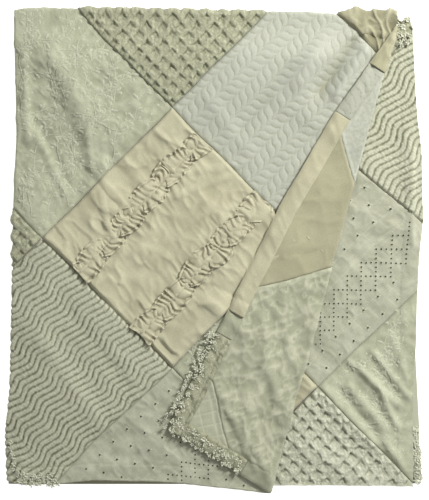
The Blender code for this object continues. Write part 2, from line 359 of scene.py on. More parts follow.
def clothShade(name, low, high, thread, fuzz=0.0, threadSize=0.0011, tint=0.10, sheen=0.25, grain=0.21):
    # low is the colour of grooves, where several cloths also take painted shade, high of crests; thread and
    # fuzz are bump heights in metres
    shade = Shade(name)
    place = shade.node("ShaderNodeUVMap", {"uv_map": "cloth"}, {})
    spot = shade.node("ShaderNodeTexCoord", {}, {}, 3)
    # pile with painted shade, from 0 to 1, picks the colour between low and high
    pileAndShade = shade.node("ShaderNodeAttribute", {"attribute_name": "pileAndShade"}, {}, 2)
    wide = shade.noise(spot, 9.0, 3.0)
    fine = shade.noise(place, 300.0, 2.0, 0.8)
    warp = shade.node("ShaderNodeTexWave", {"bands_direction": "X"}, {
        "Vector": place, "Scale": 0.314 / threadSize, "Distortion": 1.2})
    weft = shade.node("ShaderNodeTexWave", {"bands_direction": "Y"}, {
        "Vector": place, "Scale": 0.314 / threadSize, "Distortion": 1.2})
    weave = (warp + weft) * 0.5
    body = shade.mix(pileAndShade, colour(*low), colour(*high))
    body = shade.mix(1.0, body, shade.mix(
        wide, colour(1 - tint, 1 - tint, 1 - tint * 1.2),
        colour(1 + tint * 0.5, 1 + tint * 0.5, 1 + tint * 0.4)), "MULTIPLY")
    body = shade.mix(1.0, body, shade.mix(
        fine, colour(1 - grain, 1 - grain, 1 - grain), colour(1 + grain, 1 + grain, 1 + grain)), "MULTIPLY")
    body = shade.mix(1.0, body, shade.mix(
        weave, colour(0.95, 0.95, 0.94), colour(1.03, 1.03, 1.03)), "MULTIPLY")
    height = weave * thread + fine * (fuzz + 0.0003)
    bump = shade.node("ShaderNodeBump", {}, {"Height": height, "Strength": 0.8, "Distance": 1.0})
    shade.surface.inputs["Sheen Weight"].default_value = sheen
    shade.surface.inputs["Sheen Roughness"].default_value = 0.6
    shade.surface.inputs["Specular IOR Level"].default_value = 0.15
    return shade.finish(body, 0.84 + 0.12 * fine, bump)


palette = {
    "sageDeep": (0.19, 0.195, 0.12),
    "lattice": (0.445, 0.45, 0.315), "latticeDeep": (0.14, 0.145, 0.08),
    "grey": (0.448, 0.457, 0.380), "greyDeep": (0.27, 0.28, 0.19),
    "khaki": (0.515, 0.495, 0.345), "khakiDeep": (0.40, 0.38, 0.255),
    "shadow": (0.045, 0.045, 0.025),
}
shades = {
    "embroidered": clothShade("embroideredCloth",
        palette["sageDeep"], (0.455, 0.465, 0.34), 0.00010, 0.0003, tint=0.16),
    "lattice": clothShade("latticePile",
        palette["latticeDeep"], palette["lattice"], 0.0001, 0.0022, grain=0.34),
    "tuft": clothShade("tuftPile", (0.30, 0.305, 0.205), (0.66, 0.665, 0.53), 0.0001, 0.0012, grain=0.25),
    # a lighter copy of the lattice colours: painted light for the better-lit patch at the foot
    "latticeLit": clothShade("latticePileLit",
        (0.21, 0.215, 0.135), (0.63, 0.635, 0.50), 0.0001, 0.0022, grain=0.34),
    "leaf": clothShade("leafWeave", palette["greyDeep"], palette["grey"], 0.00015, 0.0003, tint=0.06),
    "khaki": clothShade("khakiPlain", palette["khakiDeep"], palette["khaki"], 0.00008, 0.0001, tint=0.07),
    "khakiShaded": clothShade("khakiShaded",
        (0.165, 0.155, 0.088), (0.375, 0.36, 0.24), 0.00008, 0.0001, tint=0.10),
    "ruffle": clothShade("ruffleCloth", (0.20, 0.18, 0.105), (0.55, 0.525, 0.37), 0.00008, 0.0001, tint=0.07),
    "wave": clothShade("wavePile", palette["sageDeep"], (0.52, 0.525, 0.395), 0.0001, 0.0013, grain=0.24),
    "eyelet": clothShade("eyeletCloth",
        (0.34, 0.345, 0.245), (0.47, 0.475, 0.365), 0.00010, 0.0002, tint=0.12),
    "greyBack": clothShade("leafReverse", palette["greyDeep"], (0.49, 0.50, 0.42), 0.0002, 0.0004, tint=0.05),
    "khakiBack": clothShade("khakiReverse",
        (0.33, 0.315, 0.20), (0.40, 0.385, 0.255), 0.00006, 0.0001, tint=0.10),
    "sageBack": clothShade("embroideredReverse",
        (0.33, 0.34, 0.235), (0.50, 0.505, 0.375), 0.00010, 0.0003, tint=0.16),
    "latticeBack": clothShade("latticeReverse",
        (0.34, 0.345, 0.24), (0.50, 0.505, 0.375), 0.00015, 0.0003, tint=0.08),
    "thread": clothShade("embroideryThread",
        (0.45, 0.46, 0.34), (0.505, 0.515, 0.385), 0.0002, 0.0002, 0.0005),
}
# the eyelet holes are dark discs of painted shadow
shades["hole"] = clothShade("eyeletShadow", palette["shadow"], palette["shadow"], 0.0001)
print("materials made")


# Each relief gives the cloth's height, and its pile from 0 to 1, which for some cloths also holds painted
# shade in the hollows.

def away(t):
    # distance from the nearest whole number
    return np.abs(t - np.round(t))


def fuzz(p, q, size, high, seed):
    return high * (mottle(p, q, size, seed) - 0.5)


waveRows = {"pitch": 0.0138, "swing": 0.0050, "length": 0.068, "high": 0.0040, "tuft": 0.0060}
backWaveRows = {"pitch": 0.0134, "swing": 0.0070, "length": 0.098, "high": 0.0040, "tuft": 0.0060}


def waveRelief(p, q, rows=waveRows):
    drift = 0.0035 * (mottle(p, q, 0.12, 5) - 0.5) + 0.0010 * (mottle(p, q, 0.018, 35) - 0.5)
    t = 2 * np.pi * (p + 3 * drift) / rows["length"]
    swing = rows["swing"] * (np.sin(t + 0.30 * np.sin(t)) - 0.04 * np.sin(3 * t))
    u = (q + swing + drift) / rows["pitch"]
    off = np.clip(away(u) * 2 + 0.34 * (mottle(p, q, 0.0036, 37) - 0.5), 0, 1)
    crest = 1 - ease((off - 0.50) / 0.40)
    dome = np.sqrt(np.clip(1 - off ** 2.6, 0, 1))
    tuft = 0.5 + 0.5 * np.cos(2 * np.pi * (
        p / rows["tuft"] + 0.5 * np.round(u) + 1.5 * mottle(p, q, 0.03, 36)))
    bits = mottle(p, q, 0.0048, 7) * 0.5 + mottle(p, q, 0.0028, 8) * 0.5
    high = (rows["high"] * (0.25 * crest + 0.75 * dome)
            + (0.0016 * (bits - 0.5) + 0.0008 * (tuft - 0.5)) * crest)
    # between the rows the pile falls to nothing: the base cloth there, darkened with painted shade
    return high, np.clip(crest * (0.50 + 0.70 * bits + 0.22 * tuft), 0, 1)


latticeRows = {"pitch": 0.0262, "high": 0.0050}


def latticeRelief(p, q, rows=latticeRows):
    wander = 0.0044 * (mottle(p, q, 0.024, 4) - 0.5) + 0.0026 * (mottle(p, q, 0.009, 24) - 0.5)
    wander2 = 0.0044 * (mottle(p, q, 0.024, 9) - 0.5) + 0.0026 * (mottle(p, q, 0.009, 25) - 0.5)
    u, v = (p + wander) / rows["pitch"], -(q + wander2) / rows["pitch"]
    f, g = u - np.floor(u), v - np.floor(v)
    slopes = [0.35 + 0.65 * np.maximum(1 - ease((h - 0.10) / 0.40), ease((h - 0.80) / 0.10)) for h in (f, g)]
    spans = [ease((h - 0.02) / 0.20) * (1 - ease((h - 0.76) / 0.10)) for h in (f, g)]
    # a shallow groove along two sides of each recess, darkened with painted shadow from the raised bars;
    # lower parts of the recesses get painted shade as well
    shadedGrooves = [np.exp(-((h - 0.735 + 0.10 * (mottle(p, q, 0.0050, 19) - 0.5)) / 0.052) ** 2) for h in (f, g)]
    shadedGroove = (np.maximum(shadedGrooves[0] * spans[1], shadedGrooves[1] * spans[0])
              * (0.30 + 0.95 * mottle(p, q, 0.012, 29)) * (0.7 + 0.5 * mottle(p, q, 0.005, 30)))
    crest = np.maximum(*slopes) - 0.35 * shadedGroove
    bits = mottle(p, q, 0.0062, 7) * 0.55 + mottle(p, q, 0.0036, 8) * 0.45
    bits = np.abs(2 * bits - 1) * 0.6 + 0.4 * bits
    high = rows["high"] * crest * (0.7 + 0.6 * mottle(p, q, 0.010, 26)) + 0.0040 * (bits - 0.2)
    return high, np.clip(
        (0.42 + 1.00 * bits) * (1 - 0.95 * np.clip(shadedGroove, 0, 1)) * (0.70 + 0.30 * crest), 0, 1)


leafRows = {"wide": 0.0306, "pitch": 0.0188, "high": 0.0017}


def leafRelief(p, q):
    wide, pitch = leafRows["wide"], leafRows["pitch"]
    wander = 0.0016 * (mottle(p, q, 0.030, 27) - 0.5)
    u = (q + wander) / wide
    column = np.floor(u)
    f = u - column
    side = np.where(column % 2 == 0, 1.0, -1.0)
    curve = 0.19 * np.sin(2 * np.pi * f)
    t = (p + wander) / pitch + side * ((f - 0.5) * wide / pitch * 0.80 + curve) + 0.37 * (column % 2)
    off = away(t) * 2
    line = 1 - ease((off - 0.76) / 0.18)
    middle = 1 - 2 * np.abs(f - 0.5)
    spine = ease(middle / 0.14)
    pad = np.sqrt(np.clip(1 - off ** 2, 0, 1)) * np.sqrt(np.clip(1 - (1 - middle) ** 4, 0, 1))
    bits = mottle(p, q, 0.0035, 6)
    mark = 1 - (1 - line) * (0.35 + 0.65 * mottle(p, q, 0.009, 28)) * ease(middle / 0.10)
    return leafRows["high"] * pad + 0.0003 * bits, np.clip(
        mark * (0.80 + 0.20 * spine) * (0.85 + 0.25 * bits), 0, 1)


def creases(p, q, size, seed, stretch=1.0):
    # thin wandering ridges
    du, dv = (0.6 * size * (mottle(p, q, size * 1.6, seed) - 0.5),
              0.6 * size * (mottle(p, q, size * 1.6, seed + 1) - 0.5))
    return (1 - np.abs(2 * mottle(p + du, (q + dv) / stretch, size, seed + 2) - 1)) ** 3


def plainRelief(p, q):
    high = (0.0046 * mottle(p, q, 0.050, 21) + 0.0042 * creases(p, q, 0.050, 200)
            + 0.0021 * creases(p, q, 0.022, 204, 1.6) + fuzz(p, q, 0.008, 0.0004, 22))
    return high, np.clip(
        0.55 + 0.8 * (mottle(p, q, 0.05, 23) - 0.5) + 0.3 * (creases(p, q, 0.030, 208) - 0.3), 0, 1)


def bunchedRelief(p, q):
    # pulled together at the top corner; its colour gets painted shade in the valleys and painted light on the
    # ridges
    bunch = 0.0058 * creases(p + 0.5 * q, q, 0.020, 260, 3.2) + 0.0026 * creases(p, q, 0.020, 264, 1.6)
    return bunch + plainRelief(p, q)[0] * 0.5, np.clip(0.12 + 170 * bunch, 0, 1)


def plainBack(p, q):
    return 0.35 * plainRelief(p, q)[0], plainRelief(p, q)[1]


def ruffledRelief(p, q):
    # the plain cloth pulled into short creases beside its ruffles, with painted shade between the creases
    high, pileAndShade = plainRelief(p, q)
    near = sum(np.exp(-np.maximum(np.abs(q - line) - 0.024, 0) / 0.030) for line in ruffle["across"])
    pull = creases(p + 0.15 * q, q, 0.0125, 212, 4.5)
    return (high + near * (0.0032 * pull + 0.0024 * mottle(p, q, 0.025, 216)),
            np.clip(pileAndShade - 0.25 * near * (0.5 - pull), 0, 1))


ruffle = {"half": 0.0290, "lines": (((-0.029, 0.245), (-0.300, -0.050)), ((0.107, 0.113), (-0.164, -0.186))),
          "across": (-0.099, 0.092), "lobe": (0.060, 0.096), "gather": 0.0128,
          "puff": 0.0048, "crease": 0.0056, "thick": 0.0008}


def embroideredRelief(p, q):
    high = (fuzz(p, q, 0.030, 0.0030, 30) + fuzz(p, q, 0.013, 0.0016, 31) + fuzz(p, q, 0.006, 0.0008, 32)
            + 0.0012 * creases(p, q, 0.022, 220))
    return high, np.clip(
        0.84 + 0.40 * (mottle(p, q, 0.012, 33) - 0.5) + 0.2 * (creases(p, q, 0.014, 224) - 0.3), 0, 1)


def eyeletRelief(p, q):
    grid = np.minimum(away(p / 0.0213), away(q / 0.0334)) * 0.0292
    line = 1 - ease((grid - 0.0004) / 0.0010)
    high = (fuzz(p, q, 0.030, 0.0036, 40) + fuzz(p, q, 0.014, 0.0015, 41) + fuzz(p, q, 0.007, 0.0008, 42)
            + 0.0016 * creases(p, q, 0.024, 228))
    return high, np.clip(
        0.50 + 0.5 * (mottle(p, q, 0.02, 43) - 0.5) + 0.30 * line + 0.3 * creases(p, q, 0.012, 232), 0, 1)


def crinkle(p, q):
    # the wrong side of the embroidered cloth: soft rumples and thin raised threads
    wide, fine = creases(p, q, 0.027, 240, 1.4), creases(p, q, 0.0125, 244)
    soft = mottle(p, q, 0.020, 55)
    high = 0.0034 * soft + 0.0020 * wide + 0.0016 * fine + fuzz(p, q, 0.007, 0.0009, 56)
    return high, np.clip(
        0.06 + 0.30 * soft + 0.70 * wide ** 2.2 + 0.95 * fine ** 2.6
        + 0.3 * (mottle(p, q, 0.006, 57) - 0.5), 0, 1)


def windowpane(p, q):
    grid = np.minimum(away(p / 0.0270), away(q / 0.0270)) * 0.0270
    line = 1 - ease((grid - 0.0006) / 0.0014)
    return -0.0007 * line + fuzz(p, q, 0.012, 0.0012, 61), np.clip(
        0.35 + 0.5 * line + 0.3 * mottle(p, q, 0.01, 62), 0, 1)


def brushed(p, q):
    bits = mottle(p, q, 0.004, 71)
    return 0.0005 * bits, np.clip(0.75 + 0.5 * (bits - 0.5), 0, 1)


fabrics = {
    "embroidered": (embroideredRelief, crinkle, "embroidered", "sageBack"),
    "lattice": (latticeRelief, windowpane, "lattice", "latticeBack"),
    # the foot's lattice takes the lit copy of the lattice colours, painted light
    "latticeFoot": (latticeRelief, windowpane, "latticeLit", "latticeBack"),
    "leaf": (leafRelief, brushed, "leaf", "greyBack"),
    "khaki": (plainRelief, plainBack, "khaki", "khakiBack"),
    "bunched": (bunchedRelief, bunchedRelief, "khakiShaded", "khakiBack"),
    "ruffled": (ruffledRelief, plainBack, "khaki", "khakiBack"),
    "wave": (waveRelief, brushed, "wave", "sageBack"),
    "backWave": (lambda p, q: waveRelief(p, q, backWaveRows), brushed, "wave", "sageBack"),
    "eyelet": (eyeletRelief, brushed, "eyelet", "sageBack"),
}


def cutAway(bm, point, normal):
    bmesh.ops.bisect_plane(bm, geom=bm.verts[:] + bm.edges[:] + bm.faces[:], dist=1e-6,
                           plane_co=point, plane_no=normal, clear_outer=True)


def meshOf(bm, name):
    mesh = bpy.data.meshes.new(name)
    bm.to_mesh(mesh)
    bm.free()
    return mesh


def coords(mesh):
    flat = np.empty(len(mesh.vertices) * 3)
    mesh.vertices.foreach_get("co", flat)
    return flat.reshape(-1, 3)


def dress(mesh, uv, pileAndShade, names):
    # the cloth's own flat coordinates, its pile with any painted shade, and its materials
    loops = np.empty(len(mesh.loops), int)
    mesh.loops.foreach_get("vertex_index", loops)
    layer = mesh.uv_layers.new(name="cloth")
    layer.data.foreach_set("uv", uv[loops].astype(np.float32).ravel())
    attribute = mesh.attributes.new("pileAndShade", "FLOAT", "POINT")
    attribute.data.foreach_set("value", pileAndShade.astype(np.float32))
    for name in names:
        mesh.materials.append(shades[name])
    mesh.polygons.foreach_set("use_smooth", np.ones(len(mesh.polygons), bool))


def addPiece(mesh, name, thick=0.0):
    obj = bpy.data.objects.new(name, mesh)
    bpy.context.scene.collection.objects.link(obj)
    if thick:
        solid = obj.modifiers.new("thickness", "SOLIDIFY")
        solid.thickness, solid.offset = thick, -1.0
        solid.use_even_offset = False
        solid.material_offset = 1 if len(mesh.materials) > 1 else 0
    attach(obj, "root")
    return obj


def setCoords(mesh, points):
    mesh.vertices.foreach_set("co", np.asarray(points, np.float64).ravel())
    mesh.update()


half = stack["blocks"] / 2
diag = half * math.sqrt(2)
# Clip lines in the flat layer: a point and the outward direction.
wrap = 0.0090  # how far the front patches go round the left and head folds
sideCuts = (((0.4037, 0.521), (1.0, 0.084)), ((0.4257, 0.30), (1.0, 0.0)), ((0.4257, 0.0134), (1.0, -0.0665)))
headCut = ((0.0, 0.5390), (0.0, 1.0))
footCut = ((0.0, footLine), (0.0, -1.0))


def planeToLocal(x, y, centre):
    dx, dy = x - centre[0], y - centre[1]
    return (dx + dy) / math.sqrt(2), (dx - dy) / math.sqrt(2)


def hemLine(y):
    # the front layer's side hem before it is turned over
    return np.minimum(np.minimum(0.4037 + 0.084 * (0.521 - y), 0.4257), 0.4257 + 0.0665 * (y - 0.0134))


def hemStitch(edge, p, q):
    # the hem is a little thicker, with a pressed line of stitches along it
    line = np.exp(-((edge - stack["hem"]) / 0.0013) ** 2)
    plump = ease((stack["hem"] - edge) / 0.004)
    return 0.0006 * plump - 0.0010 * line * (0.7 + 0.5 * mottle(p, q, 0.004, 12)), line


def shiftFold(bm, way):
    # moves the cloth across by the left fold's unevenness, out of it for -1, back for 1
    tops = np.array([v.co.y for v in bm.verts])
    for v, w in zip(bm.verts, along(leftFold, np.abs(stack["headLine"] - tops))):
        v.co.x += way * w


def patch(name, centre, kind, layer, step, cuts, extra=0.0):
    # extra is how much longer it is at its lower left
    count = round(stack["blocks"] / step)
    bm = bmesh.new()
    bmesh.ops.create_grid(bm, x_segments=count, y_segments=count, size=half)
    for v in bm.verts:
        v.co.x = v.co.x * (1 + extra / 2 / half) - extra / 2
    bmesh.ops.rotate(bm, cent=(0, 0, 0), matrix=Matrix.Rotation(math.pi / 4, 3, "Z"), verts=bm.verts)
    bmesh.ops.translate(bm, vec=(centre[0], centre[1], 0), verts=bm.verts)
    for point, normal in cuts:
        cutAway(bm, (*point, 0), (*normal, 0))
    if layer == "front" and centre[0] < -0.2:  # the left fold isn't straight, so it is cut straightened
        shiftFold(bm, -1)
        cutAway(bm, (stack["sideStart"] - wrap, 0, 0), (-1, 0, 0))
        shiftFold(bm, 1)
    cutArea = sum(f.calc_area() for f in bm.faces)
    mesh = meshOf(bm, name)
    flat = coords(mesh)
    x, y = flat[:, 0], flat[:, 1]
    p, q = planeToLocal(x, y, centre)
    right, wrong, rightShade, wrongShade = fabrics[kind]
    edge = half - np.maximum(np.where(p < 0, -p - extra, p), np.abs(q))
    seam = ease((edge - 0.0006) / (0.0026 if kind.startswith("lattice") else 0.0050))
    a, b = toCloth(x, y, layer)
    high, pileAndShade = right(p, q)
    pucker = 0.0011 * (mottle(p, q, 0.010, 81) - 0.35) * np.exp(-edge / 0.010)
    high = high * seam + pucker - 0.0008 * (1 - seam)
    # painted shade: the colour darkens towards the seams, where the cloth dips
    pileAndShade = pileAndShade * (0.62 + 0.38 * seam)
    if layer == "front":
        at, atDown, slope = stack["turn"][:3]
        over = (x - at) + slope * (b - atDown)
        back = ease((over + 0.002) / 0.008)
        backHigh, backPile = wrong(p, q)
        # painted shade in the troughs of the soft folds and painted light on their ridges
        pileAndShade = pileAndShade + 38 * softFolds(frontFolds, x, y)
        ridge = np.exp(-((edge - 0.0035) / 0.0028) ** 2)  # the seam allowance pressed flat on the wrong side
        backHigh = (backHigh * seam + 0.0011 * ridge
                    + 0.0009 * (mottle(p, q, 0.009, 82) - 0.4) * np.exp(-edge / 0.012))
        backHigh = backHigh * (0.15 + 0.85 * ease((np.minimum(hemLine(y) - x, y - footLine) - 0.034) / 0.008))
        hemHigh, line = hemStitch(y - footLine, p, q)
        high = (high + hemHigh) * (1 - back) - backHigh * back
        # painted shade along the hem's pressed stitch line and, on the wrong side, towards the seams; the
        # pressed seam allowance gets a painted highlight
        pileAndShade = ((pileAndShade * (1 - 0.5 * line)) * (1 - back)
                + (backPile * (1 - 0.3 * (1 - seam)) + 0.3 * ridge) * back)
        # painted shade along the turned flap's fold edge, for the dark gap beneath it
        pileAndShade = pileAndShade * (1 - 0.75 * np.exp(-((over - 0.0016) / 0.0019) ** 2))
    else:
        # painted shade in the troughs of the exposed layer's folds and painted light on their ridges
        pileAndShade = pileAndShade + 22 * softFolds(backFolds, x, y)
        hemHigh, line = hemStitch(backEdge - x, p, q)
        footHigh = hemStitch(y - backFoot, p, q)[0]
        high = high + np.maximum(hemHigh, 0) + np.maximum(footHigh, 0) + np.minimum(hemHigh, footHigh) * 0.7
    setCoords(mesh, onCloth(a, b, high))
    dress(mesh, np.stack([p, q], -1), np.clip(pileAndShade, 0, 1), [rightShade, wrongShade])
    obj = addPiece(mesh, name, 0.0011)
    spans = (float(np.ptp(p)), float(np.ptp(q)))
    return obj, spans, float(cutArea)


def square(i, j, first):
    return first[0] + i * diag, first[1] - j * diag


frontFirst = (-0.0935, 0.3146)   # a corner where four front patches meet
backFirst = (0.2277, -0.3014)    # and on the exposed lower layer
frontCuts = (*sideCuts, headCut, footCut)
slant = stack["turn"][2]
backCuts = (((backEdge, 0.0), (1.0, 0.0)), ((0.0, 0.5100), (0.0, 1.0)), ((0.0, backFoot), (0.0, -1.0)),
            ((0.4081 - 0.040, 0.5150), (-1.0, slant)))
longer = {"patch_wave_front": 0.056}  # how much longer a patch is at its lower left
patches = (
    ("patch_vine_left", (-1, 0), "embroidered", "front", 0.0025),
    ("patch_lattice_head", (0, -1), "lattice", "front", 0.0019),
    ("patch_leaf", (1, 0), "leaf", "front", 0.0023),
    ("patch_khaki_ruffled", (0, 1), "ruffled", "front", 0.0030),
    ("patch_lattice_left", (-2, 1), "lattice", "front", 0.0019),
    ("patch_wave_front", (-1, 2), "wave", "front", 0.0019),
    ("patch_eyelet_front", (0, 3), "eyelet", "front", 0.0028),
    ("patch_vine_turned", (1, 2), "embroidered", "front", 0.0031),
    ("patch_khaki_turned", (2, 1), "khaki", "front", 0.0032),
    ("patch_khaki_head", (2, -1), "bunched", "front", 0.0022),
    ("patch_lattice_turned", (2, 3), "lattice", "front", 0.0024),
    ("patch_lattice_behind", (0, -3), "lattice", "back", 0.0020),
    ("patch_wave_behind", (1, -2), "backWave", "back", 0.0019),
    ("patch_eyelet_behind", (0, -1), "eyelet", "back", 0.0028),
    ("patch_vine_behind", (1, 0), "embroidered", "back", 0.0030),
    ("patch_lattice_foot", (0, 1), "latticeFoot", "back", 0.0019),
    ("patch_khaki_behind", (-1, 0), "khaki", "back", 0.0034),
)
for name, (i, j), kind, layer, step in patches:
    centre = square(i, j, frontFirst if layer == "front" else backFirst)
    patch(
        name, centre, kind, layer, step, frontCuts if layer == "front" else backCuts,
        longer.get(name, 0.0))


def layerSheet(name, columns, rows, shadeName):
    # columns(b) gives the places across for that row
    bm = bmesh.new()
    wide = len(columns(rows[0]))
    bmesh.ops.create_grid(bm, x_segments=wide - 1, y_segments=len(rows) - 1, size=0.5)
    mesh = meshOf(bm, name)
    flat = coords(mesh)
    i = np.rint((flat[:, 0] + 0.5) * (wide - 1)).astype(int)
    j = np.rint((flat[:, 1] + 0.5) * (len(rows) - 1)).astype(int)
    across = np.array([columns(b) for b in rows])
    a, b = across[j, i], np.array(rows)[j]
    setCoords(mesh, onCloth(a, b, np.zeros_like(a)))
    dress(mesh, np.stack([a, b], -1), 0.5 + 0.3 * mottle(a, b, 0.05, 90), [shadeName])
    obj = addPiece(mesh, name, 0.0015)


def spaced(start, stop, size):
    return np.linspace(start, stop, max(2, int(abs(stop - start) / size) + 1))


def lowestColumns(b):
    return np.concatenate([[-0.009, -0.006, -0.003, 0, 0.003, 0.006],
                           np.linspace(0.012, along(underHem, abs(b)) - stack["sideStart"]
                                       - along(leftFold, abs(b)), 40)])


def tuckedColumns(b):
    # the hidden layer, closer together where it turns under
    at, atDown, slope, radius = stack["tuck"]
    down = abs(b)
    edge = stack["sideStart"] + along(leftFold, down)
    width = min(along(backHem, down), 0.4070 + 0.15 * down) - edge
    line = min(at - slope * (down - atDown) - edge, width - 0.034)
    first, last = line - 1.3 * radius * 1.08, line + (np.pi - 0.7) * radius * 1.08
    return -np.concatenate([np.linspace(0.008, first, 14),
                            first + (last - first) * np.array([0.25, 0.5, 0.75, 1]),
                            last + (width - last) * np.linspace(0, 1, 9)[1:]])


def coveredColumns(b):
    # the exposed layer where the turned front covers it
    at, slope = stack["turn"][0], stack["turn"][2]
    down = abs(b)
    reach = at - 0.036 - slope * (down - 0.005) - stack["sideStart"] - along(leftFold, down)
    return -np.linspace(0.008, reach, 20)


headArc = np.linspace(-0.0125, 0.0125, 9)
lowestRows = np.concatenate([-spaced(stack["long"], 0.03, 0.024), -np.linspace(0.026, 0.0135, 3)])
tuckedRows = np.concatenate([headArc, np.linspace(0.018, 0.030, 3), spaced(0.045, stack["long"], 0.024)])
coveredRows = np.concatenate([-spaced(stack["long"], 0.03, 0.024), -np.linspace(0.024, 0.0125, 4)])
layerSheet("layer_lowest", lowestColumns, lowestRows, "eyelet")
layerSheet("layer_tucked", tuckedColumns, tuckedRows, "khakiBack")
layerSheet("layer_covered", coveredColumns, coveredRows, "eyelet")
print("hidden layers")


# Across the turned hem: distance in from its edge, height over the cloth.
hemShape = ((0.0045, 0.0008), (0.0010, 0.0010), (-0.0012, 0.0003), (-0.0014, -0.0008), (0.0010, -0.0019),
            (0.0050, -0.0023), (0.0110, -0.0023), (0.0170, -0.0022), (0.0230, -0.0022), (0.0290, -0.0021),
            (0.0340, -0.0019), (0.0366, -0.0014), (0.0376, -0.0006))


def hemStrip(name, start, stop, kind, side):
    # side: True runs down the side hem, False along the bottom one; start and stop are places along it
    tufted = kind == "lattice"
    across = 25 if tufted else 17
    place = np.linspace(0, 1, len(hemShape))
    widths = np.interp(np.linspace(0, 1, across), place, [w for w, _ in hemShape])
    lifts = np.interp(np.linspace(0, 1, across), place, [h for _, h in hemShape])
    count = max(2, int(abs(stop - start) / (0.0022 if tufted else 0.0035)))
    bm = bmesh.new()
    bmesh.ops.create_grid(bm, x_segments=count, y_segments=len(widths) - 1, size=0.5)
    mesh = meshOf(bm, name)
    flat = coords(mesh)
    s = start + (flat[:, 0] + 0.5) * (stop - start)
    k = np.rint((flat[:, 1] + 0.5) * (len(widths) - 1)).astype(int)
    inward, lift = widths[k], lifts[k]
    ragged = 0.0016 * (mottle(s, s * 0, 0.013, 15) - 0.5) * (2.0 if tufted else 1.0)
    if side:
        y, x = s, hemLine(s) - inward + ragged * (inward < 0.03)
    else:
        x, y = s, footLine + inward + ragged * (inward < 0.03)
    inside = ease((inward - 0.001) / 0.006) * ease((0.0376 - inward) / 0.003) * (1.0 if tufted else 0.6)
    high, pileAndShade = fabrics[kind][0](s, inward + 0.004)
    strength = {"lattice": 0.35, "wave": 0.3, "bunched": 1.3}.get(kind, 0.6)
    pulls = 0.0030 * creases(s + 0.9 * inward, inward, 0.018, 250, 4.0)
    a, b = toCloth(x, y, "front")
    setCoords(mesh, onCloth(a, b, lift - (high * strength + pulls) * inside))
    # painted shade: darker towards both edges of the hem, where it turns and where it meets the cloth
    dress(mesh, np.stack([s, inward], -1), np.clip(pileAndShade * (0.6 + 0.4 * inside), 0, 1),
          ["khakiBack" if kind == "bunched" else fabrics[kind][2]])
    if side == (stop < start):
        mesh.flip_normals()
    return addPiece(mesh, name, 0.0008)


for name, start, stop, kind, side in (
    ("hem_side_head", 0.4950, 0.3900, "bunched", True),
    ("hem_side_leaf", 0.3900, 0.2618, "leaf", True),
    ("hem_side_khaki", 0.2618, -0.2310, "khaki", True),
    ("hem_side_vine", -0.2310, -0.2850, "embroidered", True),
    ("hem_side_lattice", -0.2850, -0.5110, "lattice", True),
    ("hem_foot_lattice", 0.3880, 0.2050, "lattice", False),
    ("hem_foot_vine", 0.2050, 0.1250, "embroidered", False),
    ("hem_foot_eyelet", 0.1250, -0.3520, "eyelet", False),
    ("hem_foot_wave", -0.3520, -0.4500, "wave", False),
):
    hemStrip(name, start, stop, kind, side)
print("hems")


